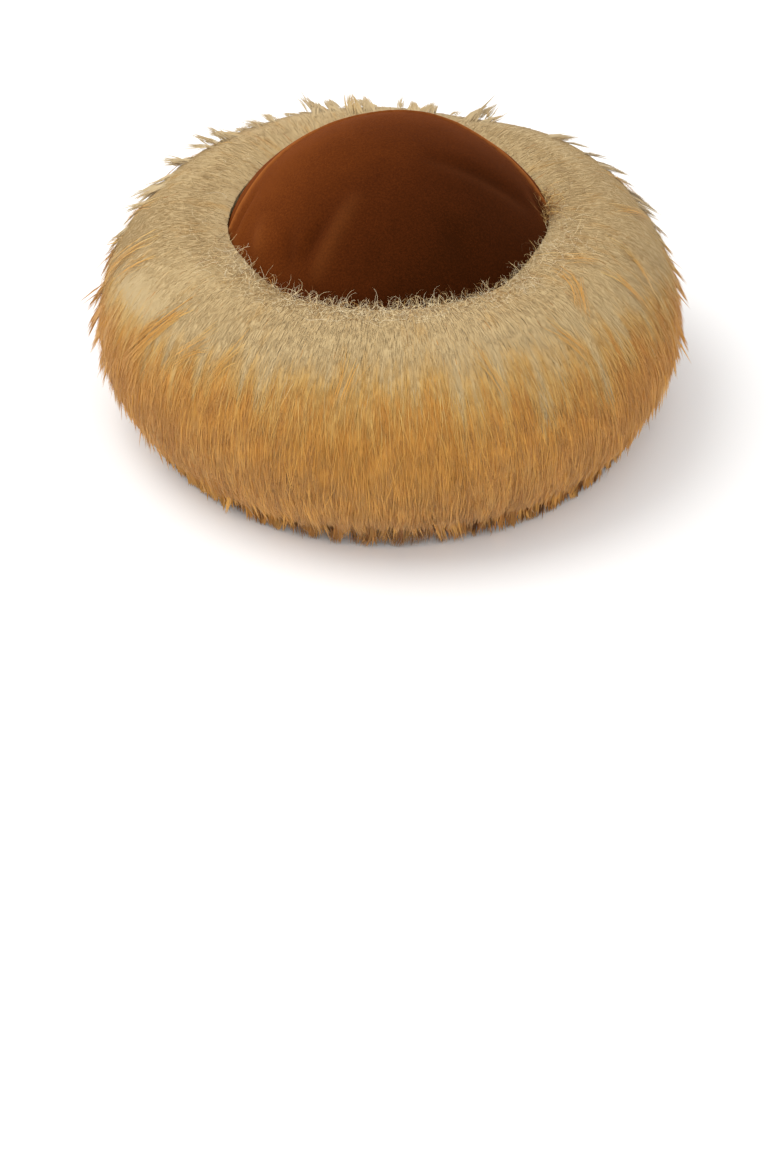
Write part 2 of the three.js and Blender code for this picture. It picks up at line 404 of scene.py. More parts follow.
def crownShell():
    bm = bmesh.new()
    verts = [bm.verts.new((x, 0, z)) for x, z in crownSection()]
    for a, b in zip(verts, verts[1:]):
        bm.edges.new((a, b))
    bmesh.ops.spin(bm, geom=bm.verts[:] + bm.edges[:], cent=(0, 0, 0), axis=(0, 0, 1),
                   angle=math.tau, steps=crown["segments"], use_merge=True)
    bmesh.ops.remove_doubles(bm, verts=bm.verts, dist=0.001)
    bmesh.ops.recalc_face_normals(bm, faces=bm.faces)
    # finer faces beside the seam, for its ridge
    def nearSeam(vert):
        away = abs(vert.co.y - seamBack(vert.co.x, vert.co.z))
        return vert.co.z > crown["fineFrom"] and away < crown["fineBeside"]
    edges = [e for e in bm.edges if all(nearSeam(v) for v in e.verts)]
    bmesh.ops.subdivide_edges(bm, edges=edges, cuts=3, use_grid_fill=True)
    bmesh.ops.triangulate(bm, faces=[f for f in bm.faces if len(f.verts) > 4])
    mesh = takeMesh("crownShell", bm)
    points = readPoints(mesh)
    across, along = halfWidths(np.minimum(points[:, 2], form["bellyZ"]))
    mean = (across + along) / 2
    points[:, 0] *= across / mean
    points[:, 1] *= along / mean
    writePoints(mesh, points)
    return mesh


def readPoints(mesh):
    flat = np.empty(len(mesh.vertices) * 3)
    mesh.vertices.foreach_get("co", flat)
    return flat.reshape(-1, 3)


def writePoints(mesh, points):
    mesh.vertices.foreach_set("co", points.ravel())
    mesh.update()


def addAttribute(mesh, name, kind, values):
    layer = mesh.attributes.new(name, kind, "POINT")
    layer.data.foreach_set("vector" if kind == "FLOAT_VECTOR" else "value", np.ravel(values))


def seamWall(side):
    # everything on one side of the seam, as a block that cuts the crown
    bm = bmesh.new()
    reach = 300.0  # well past the crown
    heights = np.linspace(seamLine[0][0], seamLine[-1][0], 70)
    outline = [(side * reach, heights[0])]
    outline += [(float(smoothTable(z, seamLine, 1)) + side * crown["gap"] / 2, z) for z in heights]
    outline.append((side * reach, heights[-1]))
    face = bm.faces.new([bm.verts.new((-reach, y - seamSkew * reach, z)) for y, z in outline])
    swept = bmesh.ops.extrude_face_region(bm, geom=[face])
    moved = [v for v in swept["geom"] if isinstance(v, bmesh.types.BMVert)]
    bmesh.ops.translate(bm, vec=(2 * reach, seamSkew * 2 * reach, 0), verts=moved)
    bmesh.ops.recalc_face_normals(bm, faces=bm.faces)
    return bpy.data.objects.new("seamWall", takeMesh("seamWall", bm))


def cutPanel(name, side, shell):
    # one side of the shell, with its cut edges cleaned
    piece = keepMesh(name, shell.copy())
    cutter = seamWall(side)
    scene.collection.objects.link(cutter)
    cut = piece.modifiers.new("cut", "BOOLEAN")
    cut.operation, cut.object, cut.solver = "INTERSECT", cutter, "EXACT"
    applyModifiers(piece)
    bpy.data.objects.remove(cutter)
    bm = bmesh.new()
    bm.from_mesh(piece.data)
    bmesh.ops.remove_doubles(bm, verts=bm.verts, dist=0.02)
    bmesh.ops.dissolve_degenerate(bm, edges=bm.edges, dist=0.02)
    bmesh.ops.recalc_face_normals(bm, faces=bm.faces)
    bm.to_mesh(piece.data)
    bm.free()
    return piece


def fromSeam(points, side):
    # how far each point is from the seam, square to it
    x, y, z = points.T
    slope = (seamBack(x, z + 1) - seamBack(x, z - 1)) / 2
    return side * (y - seamBack(x, z)) / np.sqrt(1 + slope**2) - crown["gap"] / 2


def shapePanel(mesh, side):
    # folds the cloth and raises the seam's edge, and gives each point's painted light and shade: a
    # painted highlight on the seam's raised edge and on ridges, painted shade beside the seam on
    # the back panel and in valleys
    points = readPoints(mesh)
    outward = points - np.array((0, 0, crown["middleZ"]))
    outward[:, 2] = np.maximum(outward[:, 2], 0)
    outward /= np.linalg.norm(outward, axis=1, keepdims=True)
    away = fromSeam(points, side)
    across, along = halfWidths(np.minimum(points[:, 2], form["top"] - 0.01))
    size = np.hypot(points[:, 0] / across, points[:, 1] / along)
    outside = (size > 0.985) | (points[:, 2] > form["top"] - 1)
    wander = ripple(points, 42, 1) * 0.7 + ripple(points, 19, 2) * 0.3
    depth, lines = foldDepth(points)
    shift = wander * crown["unevenness"] - depth
    overTop = np.degrees(np.arctan2(points[:, 2] - 60, points[:, 0]))
    pucker = np.sin(overTop * 1.7 + 3 * np.sin(overTop * 0.31)) * crown["pucker"]
    sideways = smoothStep(*crown["flatTop"], np.abs(points[:, 0]))
    if side < 0:
        half = crown["ridgeWidth"] / 2
        bulge = np.clip(1 - ((away - half) / half) ** 2, 0, 1)
        ridge = crown["ridge"] * np.sqrt(bulge) * (1 + 0.15 * ripple(points, 9, 3))
        beside = np.exp(-((away - crown["ridgeWidth"] - 1.6) / 1.8) ** 2)
        seamShape = ridge - beside * (0.35 + pucker) * sideways
        # on the front panel, a painted highlight along the seam's raised edge
        crest = np.exp(-((away - 1.2) / 1.7) ** 2) * (0.35 + 0.65 * sideways) * outside
    else:
        seamShape = -np.exp(-(away / 3.0) ** 2) * (1.0 + pucker) * sideways
        # on the back panel, painted shade beside the seam, under the front panel's edge
        crest = -np.exp(-(away / 4.5) ** 2) * sideways
    crest -= lines * np.where(lines > 0, 0.26, 0.12)  # a painted highlight on ridges and painted shade in valleys
    shift += np.where(outside & (points[:, 2] > 60), seamShape, 0)
    points += outward * shift[:, None]
    points += np.array((*form["middle"], 0))
    writePoints(mesh, points * mm)
    return crest


def crownPanel(name, side, shell, material):
    piece = cutPanel(name, side, shell)
    # each point's painted light and shade, for the suede's colour
    addAttribute(piece.data, "crest", "FLOAT", shapePanel(piece.data, side))
    piece.data.materials.clear()
    piece.data.materials.append(material)
    piece.data.shade_smooth()
    return piece


def applyModifiers(piece):
    graph = bpy.context.evaluated_depsgraph_get()
    made = bpy.data.meshes.new_from_object(piece.evaluated_get(graph))
    piece.modifiers.clear()
    piece.data = made


brownSuede = suedeMaterial()
shell = crownShell()
for name, side in (("crown_front_panel", -1), ("crown_back_panel", 1)):
    panel = crownPanel(name.replace("crown", "suede"), side, shell, brownSuede)
    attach(panel, "root")
    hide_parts(name)
    panel.data.calc_loop_triangles()
    print(panel.name, "has", len(panel.data.loop_triangles), "triangles")


# ---- the fur: a soft ring, and the hair that grows out of it

fur = {
    "ridge": 0.45,  # how high a hair's back is, of its half width
    "dip": 9.0,  # how far the fur goes down beside the crown at the front
    "dipWidth": 20,  # how far out that goes
    "arch": 0.15,  # how far the middle of a short hair stands up, at least
    "lowest": 0.5,  # over what the hat rests on
    "seed": 4,
}

# the hair grows in two zones of the section, the cream top and the streaked flank
hairZones = [
    # places are along the section, and locks are what the hairs draw together into. wander is
    # how far a hair strays, contrast is between light and dark, and depth is how deep it starts.
    {"name": "top", "places": (-8, 96), "hairs": 108000, "locks": 2600, "halfWidth": 0.18,
     "wander": 0.03, "contrast": 0.025, "depth": 0.4, "tilt": 0.05},
    {"name": "flank", "places": (84, 154), "hairs": 66000, "locks": 3200, "halfWidth": 0.20,
     "wander": 0.12, "contrast": 0.17, "depth": 2.0, "tilt": 0.2},
]

# some locks stand out where the fur is seen against the light, and make its outline ragged
boldLocks = {
    "share": 0.32,  # of the locks there
    "before": 12,  # how far before the outline they start
    "within": 9,  # how far from there they may be
    "last": 148,  # no bold locks lower than this place
    "length": (16, 26),
    "lift": (6.0, 2.2),  # at least, and how much more in the mean
    "hairs": 0.65,  # the share of a lock's hairs that stand out with it
}

# rows of the fur's section, from the crown to the foot. out and z are the soft ring's surface
# outside the crown, length is how long the hair is, lift is how far its tips stand off that
# surface, gather is how far they draw together into a lock, and uneven is how locks differ.
furRows = [
    # out, z, length, lift, gather, uneven
    (0.1, 119.5, 17, 0.6, 0.06, 0.05),
    (6, 121.8, 18, 0.6, 0.06, 0.05),
    (16, 122.5, 20, 0.7, 0.08, 0.05),
    (30, 119.5, 23, 0.8, 0.10, 0.06),
    (44.5, 110, 27, 1.2, 0.20, 0.12),
    (56, 96.5, 32, 2.2, 0.32, 0.25),
    (63.5, 80.5, 36, 3.5, 0.45, 0.3),
    (66.5, 64, 38, 4.5, 0.55, 0.35),
    (65, 47.5, 36, 6, 0.64, 0.4),
    (59.5, 33, 30, 7, 0.70, 0.4),
    (51, 21.5, 22, 6, 0.74, 0.35),
    (41, 14, 14, 4, 0.75, 0.3),
]

# how full the fur is round the hat: azimuth, reach of its section, and lift in millimetres
furFullness = [
    (0, 1.02, 3), (45, 1.06, 7), (68, 0.96, 4), (90, 1.00, 9), (135, 1.08, 12),
    (180, 1.06, 5), (225, 0.99, 9), (270, 1.06, 10), (315, 1.05, 7),
]

# where along its section the fur is seen against the light, by how far behind the hat it is
furOutline = [
    # sine of the azimuth, place
    (-1.0, 165), (-0.7, 155), (-0.34, 130), (0.0, 103), (0.25, 75), (0.5, 55), (0.7, 46), (1.0, 36),
]

# the colour changes from cream to orange brown between two heights, which differ round the hat
toneHeights = [
    # azimuth, cream above, orange below
    (0, 100, 44), (45, 88, 34), (90, 88, 30), (135, 92, 36),
    (180, 106, 54), (225, 116, 60), (270, 124, 46), (315, 118, 50),
]

# long wisps of orange hair that lie over the cream
furWisps = [
    # azimuth, place along the section, length, how far it turns in degrees, hairs, tone
    (219, 28, 70, -14, 33, 0.66), (184, 32, 46, -3, 21, 0.6), (192, 30, 40, -5, 12, 0.55),
    (228, 44, 32, -8, 15, 0.6), (236, 40, 34, -5, 15, 0.5), (212, 50, 30, -6, 15, 0.6),
    (325, 16, 34, -10, 21, 0.66), (327, 8, 26, 5, 12, 0.6), (333, 36, 30, 0, 15, 0.6),
    (347, 30, 34, -8, 12, 0.5), (2, 26, 38, 6, 18, 0.5), (306, 36, 34, 5, 12, 0.5),
    (288, 40, 34, 3, 12, 0.5), (262, 38, 34, -3, 12, 0.5), (24, 34, 46, -5, 18, 0.5),
    (58, 36, 44, 6, 15, 0.5), (98, 34, 44, -6, 15, 0.5), (140, 30, 48, 6, 18, 0.5),
    (166, 34, 48, -8, 18, 0.55),
]

guardHair = {"hairs": 7000, "places": (52, 136), "length": (22, 42), "halfWidth": 0.13, "sway": 1.6}

paleHair = [
    # tone, from cream to orange brown, and the colour of its lightest hair
    (0.0, srgb(208, 186, 142)), (0.25, srgb(211, 177, 108)), (0.5, srgb(213, 161, 80)),
    (0.75, srgb(222, 166, 82)), (1.0, srgb(224, 168, 86)),
]
deepHair = [
    (0.0, srgb(178, 152, 107)), (0.25, srgb(176, 132, 66)), (0.5, srgb(166, 104, 34)),
    (0.75, srgb(152, 92, 30)), (1.0, srgb(140, 82, 28)),
]
# how light the hair is along the section, with painted shade near the crown, which gets more light,
# and painted light lower down
hairLight = [(0, 0.24), (20, 0.28), (45, 0.42), (80, 0.6), (120, 0.76), (160, 0.84)]
toneSteps = 12  # a hair's tone and lightness share its first UV coordinate, tone in steps
fadedTip = srgb(206, 178, 134)
hairFinish = {"Roughness": 0.8, "Specular IOR Level": 0.12, "Sheen Weight": 0.15}


def sectionTable():
    # the rows again, with how far along the section each is
    points = np.array([row[:2] for row in furRows])
    along = np.concatenate([[0], np.cumsum(np.linalg.norm(np.diff(points, axis=0), axis=1))])
    return [(place, *row) for place, row in zip(along, furRows)]


sectionRows = sectionTable()
sectionEnd = sectionRows[-1][0]


def overSection(place, height):
    # a point at a place along the section and at a height off it, as (out, z), with its normal
    step = 0.5
    inside = np.clip(place, step, sectionEnd - step)
    before = np.stack([smoothTable(inside - step, sectionRows, k) for k in (1, 2)], axis=-1)
    after = np.stack([smoothTable(inside + step, sectionRows, k) for k in (1, 2)], axis=-1)
    tangent = after - before
    tangent /= np.linalg.norm(tangent, axis=-1, keepdims=True)
    normal = np.stack([-tangent[..., 1], tangent[..., 0]], axis=-1)
    beyond = np.maximum(place - sectionEnd, 0)[..., None] * np.array((0.25, -0.97))
    point = (before + after) / 2 + beyond + normal * np.asarray(height)[..., None]
    return point, normal


def furPlace(azimuth, out, z):
    # from degrees round the hat, millimetres outside the crown, and height, to a point
    turn = np.radians(azimuth)
    reach = roundTable(azimuth, furFullness, 1)
    lift = roundTable(azimuth, furFullness, 2)
    # the fur goes down beside the crown, at the front alone and at the top of it alone
    beside = np.clip(1 - out / fur["dipWidth"], 0, 1) ** 2 * smoothStep(95, 115, z)
    z = z - fur["dip"] * beside * smoothStep(0.4, 0.9, -np.sin(turn))
    out = np.where(out > 0, out * reach, out)
    free = np.clip(out / 20, 0, 1)  # beside the crown it follows the crown's own width
    z = z + lift * z / form["top"]
    across, along = halfWidths(np.clip(z, form["rimZ"], form["top"] - 1))
    across = across + (form["bellyAcross"] - across) * free
    along = along + (form["bellyAlong"] - along) * free
    side = np.cos(turn) / form["bellyAcross"]
    ahead = np.sin(turn) / form["bellyAlong"]
    size = np.hypot(side, ahead)
    x = across * np.cos(turn) + out * side / size + form["middle"][0]
    y = along * np.sin(turn) + out * ahead / size + form["middle"][1]
    return np.stack([x, y, z], axis=-1)


def furNormal(azimuth, normal):
    turn = np.radians(azimuth)
    side = np.stack([np.cos(turn) / form["bellyAcross"], np.sin(turn) / form["bellyAlong"]],
                    axis=-1)
    side /= np.linalg.norm(side, axis=-1, keepdims=True)
    return np.concatenate([side * normal[..., :1], normal[..., 1:]], axis=-1)


def furTone(azimuth, z):
    above = roundTable(azimuth, toneHeights, 1)
    below = roundTable(azimuth, toneHeights, 2)
    return 1 - np.clip((z - below) / (above - below), 0, 1)


# ---- the ring

softRing = {
    "under": [(0, 0.6), (30, 0.7), (55, 1.6), (100, 2.4), (170, 2.4)],  # the hair, by place
    "rows": 50,
    "segments": 270,
    "foot": [(32, 6), (26, 0.4), (14, 0.4), (3, 0.4)],  # out and z, under the hair
    "insideZ": (6, 12, 25, 45, 70, 95),
    "clearOfCrown": 0.6,
    "unevenness": 0.2,
    "finish": {"Roughness": 0.85, "Specular IOR Level": 0.1},
}


def hairColour(tone, light):
    return light.mix(tone.ramp(*deepHair), tone.ramp(*paleHair))


def ringMaterial():
    material, link, shader = newMaterial("furUnderlayer", softRing["finish"])
    flow = link.node("ShaderNodeAttribute", {"attribute_name": "flow"}, output="Vector")
    tone = link.node("ShaderNodeAttribute", {"attribute_name": "tone"}, output="Fac")
    fibres = flow.texture(0.9, 5.0, 0.75)
    broad = flow.texture(0.16, 3.0)
    light = fibres.between(0.4, 0.6, 0.3, 0.7)
    mottled = (tone + broad * 0.2 - 0.1).between(0, 1)
    hairColour(mottled, light).into(shader, "Base Color")
    fibres.bump(0.4, 0.0008).into(shader, "Normal")
    return material


def furRing():
    bm = bmesh.new()
    base = 200.0  # the section is spun far out, so that its radius gives the place again
    places = np.linspace(0, sectionEnd, softRing["rows"])
    section = overSection(places, -smoothTable(places, softRing["under"], 1))[0]
    section = [(max(out, softRing["clearOfCrown"]), z) for out, z in section]
    section += softRing["foot"]
    section += [(softRing["clearOfCrown"], z) for z in softRing["insideZ"]]
    verts = [bm.verts.new((base + out, 0, z)) for out, z in section]
    for a, b in zip(verts, verts[1:] + verts[:1]):
        bm.edges.new((a, b))
    bmesh.ops.spin(bm, geom=bm.verts[:] + bm.edges[:], cent=(0, 0, 0), axis=(0, 0, 1),
                   angle=math.tau, steps=softRing["segments"], use_merge=True)
    bmesh.ops.remove_doubles(bm, verts=bm.verts, dist=0.001)
    mesh = takeMesh("fur_underlayer", bm)
    points = readPoints(mesh)
    azimuth = np.degrees(np.arctan2(points[:, 1], points[:, 0]))
    out = np.hypot(points[:, 0], points[:, 1]) - base
    z = points[:, 2].copy()
    turn = np.radians(azimuth)
    around = np.stack([np.cos(turn) * 150, np.sin(turn) * 150, z * 0.12 + out * 0.05], axis=-1)
    loose = smoothStep(2, 30, out) * (z > 2)
    out = out + loose * ripple(around, 7, 5) * softRing["unevenness"]
    placed = furPlace(azimuth, out, z)
    writePoints(mesh, placed * mm)
    addAttribute(mesh, "flow", "FLOAT_VECTOR", around)
    addAttribute(mesh, "tone", "FLOAT", furTone(azimuth, placed[:, 2]))
    bm = bmesh.new()
    bm.from_mesh(mesh)
    bmesh.ops.recalc_face_normals(bm, faces=bm.faces)
    bm.to_mesh(mesh)
    bm.free()
    return keepMesh("fur_underlayer", mesh, ringMaterial())


# ---- hair

def hairMaterial(name, colour):
    # across and tip are where a point is on its hair's map: see packTone for what across holds
    material, link, shader = newMaterial(name, hairFinish)
    across, tip = link.node("ShaderNodeUVMap", {"uv_map": "OFBake"}).apart()
    colour(across, tip).into(shader, "Base Color")
    return material


def strandColour(across, tip):
    stepped = across * toneSteps
    own = stepped.maths("FLOOR", stepped) / (toneSteps - 1)
    # a hair that lies where the colour changes is more orange towards its tip
    tone = (own + (tip - 0.55) * own * (1 - own) * 1.8).between(0, 1)
    light = stepped.maths("FRACT", stepped).between(0, 1, 0.15, 0.85)
    nearRoot = tip.between(0.4, 0.0, 0.1, 0.6) * (tone * 0.6 + 0.2)
    nearTip = tip.between(0.0, 1.0, 0.7, 1.0) * (tone * 0.15 + 0.12)
    rooted = nearRoot.mix(hairColour(tone, light), hairColour(tone, light * 0.4))
    return nearTip.mix(rooted, fadedTip)


def frizzColour(across, tip):
    # the same all along a curl, so its tip isn't used
    # its dark browns are both the corner tuft's hairs and painted shade between the curls
    return across.ramp((0.0, srgb(74, 46, 18)), (0.3, srgb(148, 104, 50)),
                       (0.5, srgb(208, 168, 96)), (0.75, srgb(226, 206, 162)),
                       (1.0, srgb(214, 200, 172)))


def spread(count, fromPlace, toPlace, chance):
    # even but irregular places along the section and round it, as many for every square millimetre
    n = np.arange(count)
    down = (0.5 + n * 0.7548776662) % 1 + chance.uniform(-0.5, 0.5, count) / np.sqrt(count)
    turn = (0.5 + n * 0.5698402910) % 1 * 360 + chance.uniform(-180, 180, count) / np.sqrt(count)
    places = np.linspace(fromPlace, min(toPlace, sectionEnd), 200)
    room = np.cumsum(form["bellyAcross"] + smoothTable(places, sectionRows, 1))
    return np.interp(np.clip(down, 0, 1), (room - room[0]) / (room[-1] - room[0]), places), turn


def nearest(places, turns, leadPoints):
    # which lock each hair belongs to
    tree = KDTree(len(leadPoints))
    for i, point in enumerate(leadPoints):
        tree.insert(point, i)
    tree.balance()
    points = hairPaths(places, turns, np.zeros(len(places)))[0]
    return np.array([tree.find(point)[1] for point in points])


def blades(paths, normals, halfWidth, tilt, chance):
    # closed, pointed hairs along paths of points, as points, faces and the way they are shaded.
    # A long one is a low ridge that lies on the fur, and one of three points is a sliver.
    count, steps, _ = paths.shape
    along = np.gradient(paths, axis=1)
    along /= np.maximum(np.linalg.norm(along, axis=2, keepdims=True), 1e-6)
    aside = np.cross(along, normals)
    aside /= np.maximum(np.linalg.norm(aside, axis=2, keepdims=True), 1e-6)
    above = np.cross(aside, along)
    roll = chance.normal(0, tilt, (count, 1, 1))
    aside, above = (aside * np.cos(roll) + above * np.sin(roll),
                    above * np.cos(roll) - aside * np.sin(roll))
    rings = steps - 2
    if rings == 1:
        corners = ((1, 0), (-1, 0))
        faces = [(0, 1, 2), (3, 2, 1), (0, 2, 3), (0, 3, 1)]
    else:
        corners = ((1, 0), (-1, 0), (0, fur["ridge"]))
        faces = []
        last = 1 + 3 * rings
        for j in range(3):
            k = (j + 1) % 3
            faces.append((0, 1 + k, 1 + j))
            for ring in range(rings - 1):
                low, high = 1 + 3 * ring, 4 + 3 * ring
                faces += [(low + j, low + k, high + k), (low + j, high + k, high + j)]
            faces.append((last - 3 + j, last - 3 + k, last))
    sides = len(corners)
    taper = np.linspace(1, 0.7, rings)[None, :, None] * halfWidth[:, None, None]
    verts = np.empty((count, 2 + sides * rings, 3))
    facing = np.empty_like(verts)
    verts[:, 0], verts[:, -1] = paths[:, 0], paths[:, -1]
    facing[:, 0], facing[:, -1] = normals[:, 0], normals[:, -1]
    for j, (wide, high) in enumerate(corners):
        edge = aside[:, 1:-1] * wide + above[:, 1:-1] * high
        verts[:, 1 + j:-1:sides] = paths[:, 1:-1] + edge * taper
        facing[:, 1 + j:-1:sides] = normals[:, 1:-1] + aside[:, 1:-1] * wide * tilt
    every = np.arange(count)[:, None, None] * verts.shape[1] + np.array(faces)[None]
    facing /= np.linalg.norm(facing, axis=2, keepdims=True)
    return verts, every.reshape(-1, 3), facing.reshape(-1, 3)


def hairMesh(name, paths, normals, halfWidth, across, tilt, chance, material, bare=0.25):
    # bare is how much a face's own direction counts in how it is shaded
    verts, faces, facing = blades(paths, normals, halfWidth, tilt, chance)
    count, steps, _ = paths.shape
    sides = (verts.shape[1] - 2) // (steps - 2)
    u = np.repeat(across[:, None], verts.shape[1], axis=1)
    v = np.empty_like(u)
    v[:, 0], v[:, -1] = 0.01, 0.99
    v[:, 1:-1] = np.repeat(np.linspace(0, 1, steps)[1:-1], sides)[None]
    for j in range(sides):
        u[:, 1 + j:-1:sides] += (j * 2 / (sides - 1) - 1) * 0.004
    uv = np.stack([u, v], axis=-1).reshape(-1, 2)
    verts = verts.reshape(-1, 3)
    mesh = bpy.data.meshes.new(name)
    mesh.vertices.add(len(verts))
    mesh.vertices.foreach_set("co", (verts * mm).ravel())
    mesh.loops.add(faces.size)
    mesh.loops.foreach_set("vertex_index", faces.ravel())
    mesh.polygons.add(len(faces))
    mesh.polygons.foreach_set("loop_start", np.arange(0, faces.size, 3))
    mesh.update(calc_edges=True)
    layer = mesh.uv_layers.new(name="OFBake")
    layer.data.foreach_set("uv", uv[faces.ravel()].ravel())
    piece = keepMesh(name, mesh, material)
    # a corner is shaded as the fur's surface is, except on faces that look the other way
    corners = facing[faces]
    first, second, third = (verts[faces[:, k]] for k in range(3))
    own = np.cross(second - first, third - first)
    own /= np.maximum(np.linalg.norm(own, axis=1, keepdims=True), 1e-9)
    own = np.repeat(own[:, None], 3, axis=1)
    turnedAway = (corners * own).sum(2, keepdims=True) < 0.15
    corners = np.where(turnedAway, own, corners * (1 - bare) + own * bare)
    corners /= np.linalg.norm(corners, axis=2, keepdims=True)
    mesh.normals_split_custom_set(corners.reshape(-1, 3))
    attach(piece, "root")
    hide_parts("fur_band")
    print(name, "has", count, "hairs and", len(faces), "faces")
    return piece


def hairPaths(place, turn, height):
    # hairs in three dimensions, with the fur's normal at each of their points
    section, normal = overSection(place, height)
    points = furPlace(turn, np.maximum(section[..., 0], softRing["clearOfCrown"]), section[..., 1])
    points[..., 2] = np.maximum(points[..., 2], fur["lowest"])
    return points, furNormal(turn, normal)


def packTone(tone, light):
    # where the hair stands across the map: the tone's step, and the lightness in it
    step = np.round(np.clip(tone, 0, 1) * (toneSteps - 1))
    return (step + 0.15 + 0.7 * np.clip(light, 0, 1)) / toneSteps


def streaks(place, turn, wide, length, seed):
    # noise in streaks that follow the hair, from about -1 to 1
    turn = np.radians(turn)
    reach = form["bellyAcross"] + form["bellyAlong"] * 0.5
    around = np.stack([np.cos(turn) * reach, np.sin(turn) * reach, place * wide / length], axis=-1)
    return ripple(around, wide, seed) * 2.2


def growLocks(zone, chance):
    # what the hairs of each lock have in common
    count = zone["locks"]
    place, turn = spread(count, *zone["places"], chance)
    points = hairPaths(place, turn, np.zeros(count))[0]
    length, lift, gather, uneven = (smoothTable(place, sectionRows, column)
                                    for column in (3, 4, 5, 6))
    outline = smoothTable(np.sin(np.radians(turn)), furOutline, 1)
    against = np.abs(place - outline + boldLocks["before"]) < boldLocks["within"]
    against &= place < boldLocks["last"]
    bold = against & (chance.random(count) < boldLocks["share"])
    length = length * (1 + uneven * chance.uniform(-0.5, 0.4, count))
    length = np.where(bold, chance.uniform(*boldLocks["length"], count), length)
    lift = lift * (1 + uneven * chance.uniform(-1.0, 0.9, count))
    least, more = boldLocks["lift"]
    lift = np.where(bold, least + chance.exponential(more, count), lift)
    gather = gather * chance.uniform(0.7, 1.3, count)
    gather = np.where(bold, 0.97, np.minimum(gather, 0.95))
    stray = smoothTable(place, [(0, 0.1), (60, 0.2), (100, 1.0)], 1)
    sway = chance.normal(0, 1.0, count) * stray + 1.5 * ripple(points, 60, 8)
    return {
        "place": place, "turn": turn, "points": points, "bold": bold, "length": length,
        "lift": lift, "gather": gather, "sway": sway * np.where(bold, 1.8, 1),
        "tone": chance.normal(0, 0.05, count),
        "light": chance.normal(0, 0.4, count) + ripple(points, 15, 6),
    }


def growZone(zone, chance, material):
    locks = growLocks(zone, chance)
    count = zone["hairs"]
    steps = np.linspace(0, 1, 3)[None]  # each hair's root, middle and tip
    place, turn = spread(count, *zone["places"], chance)
    own = nearest(place, turn, locks["points"])
    lock = {key: values[own] for key, values in locks.items()}
    isBold = (lock["bold"] & (chance.random(count) < boldLocks["hairs"]))[:, None]
    loose = (chance.random(count) < 0.02)[:, None]
    share = 1 - chance.random(count) * np.where(isBold[:, 0], 0.5, 0.25)
    draw = np.where(loose, 0.1, lock["gather"][:, None]) * steps ** np.where(isBold, 1.7, 1.3)
    plain = np.where(lock["bold"], smoothTable(place, sectionRows, 4), lock["lift"])
    rise = np.where(isBold[:, 0], lock["lift"] * share, plain * (1 - 0.2 * chance.random(count)))
    at = (place[:, None] + (lock["length"] * share)[:, None] * steps
          + (lock["place"] - place)[:, None] * draw)
    height = (rise[:, None] * steps ** np.where(isBold, 2.2, 1.35) * np.where(loose, 1.6, 1)
              - zone["depth"] * (1 - steps) ** 2)
    aside = lock["sway"][:, None] * steps ** 1.5 + chance.normal(0, 0.6, (count, 1)) * steps
    apart = np.mod(lock["turn"] - turn + 180, 360) - 180
    turned = turn[:, None] + apart[:, None] * draw + aside
    points, normals = hairPaths(at, turned, height)
    points[:, 1:] += chance.normal(0, zone["wander"], (count, 2, 3)) * steps[:, 1:, None]
    points[..., 2] = np.maximum(points[..., 2], fur["lowest"])
    # a hair is arched a little, so that its two broad faces show
    arch = ((points[:, 1] - (points[:, 0] + points[:, 2]) / 2) * normals[:, 1]).sum(1)
    points[:, 1] += normals[:, 1] * np.maximum(fur["arch"] - arch, 0)[:, None]

    def drawn(wide, length, seed):
        return streaks(at[:, 1], turned[:, 1], wide, length, seed)

    fade = furTone(turn, points[:, 1, 2])
    mixed = lock["tone"] + chance.normal(0, 0.04, count)
    tone = (fade + (0.02 + 0.5 * fade * (1 - fade)) * (drawn(4, 45, 11) + drawn(14, 60, 14))
            + mixed * np.clip(0.4 + fade * 2, 0, 1))
    # a few hairs are orange in the cream, and some are paler than those beside them
    odd = chance.random(count)
    tone = np.where(odd < 0.003, 0.8, np.where(odd > 0.985, tone - 0.25, tone))
    # its lightness along the section carries painted shade near the crown and painted light lower
    # down
    light = smoothTable(place, hairLight, 1) + zone["contrast"] * (
        drawn(1.8, 34, 12) + 0.7 * drawn(6, 55, 13)
        + 0.6 * lock["light"] + chance.normal(0, 0.6, count))
    across = packTone(tone, light)
    widths = zone["halfWidth"] * chance.uniform(0.75, 1.25, count)
    parts = max(2, math.ceil(count * 4 / 180000))  # none of 200,000 triangles or more
    for part in range(parts):
        here = np.floor(np.mod(turn - 90, 360) / 360 * parts) == part
        hairMesh(f"fur_{zone['name']}_{part + 1}", points[here], normals[here], widths[here],
                 across[here], zone["tilt"], chance, material, 0.1)


def growFur(material):
    chance = np.random.default_rng(fur["seed"])
    for zone in hairZones:
        growZone(zone, chance, material)


def growGuardHair(material):
    # long single hairs that stream down over the locks of the flank
    chance = np.random.default_rng(fur["seed"] + 3)
    count = guardHair["hairs"]
    steps = np.linspace(0, 1, 4)[None]
    place, turn = spread(count, *guardHair["places"], chance)
    length = chance.uniform(*guardHair["length"], (count, 1))
    at = place[:, None] + length * steps
    turned = turn[:, None] + chance.normal(0, guardHair["sway"], (count, 1)) * steps ** 1.3
    height = (smoothTable(at, sectionRows, 4) * (0.3 + 0.7 * steps)
              + chance.normal(0.5, 0.6, (count, 1)) * steps)
    points, normals = hairPaths(at, turned, height - 1.5 * (1 - steps) ** 2)
    tone = furTone(turn, points[:, 1, 2]) + chance.normal(0.06, 0.08, count)
    across = packTone(tone, chance.uniform(0.1, 1.0, count))
    widths = guardHair["halfWidth"] * chance.uniform(0.7, 1.3, count)
    hairMesh("fur_guard_hair", points, normals, widths, across, 0.2, chance, material, 0.15)


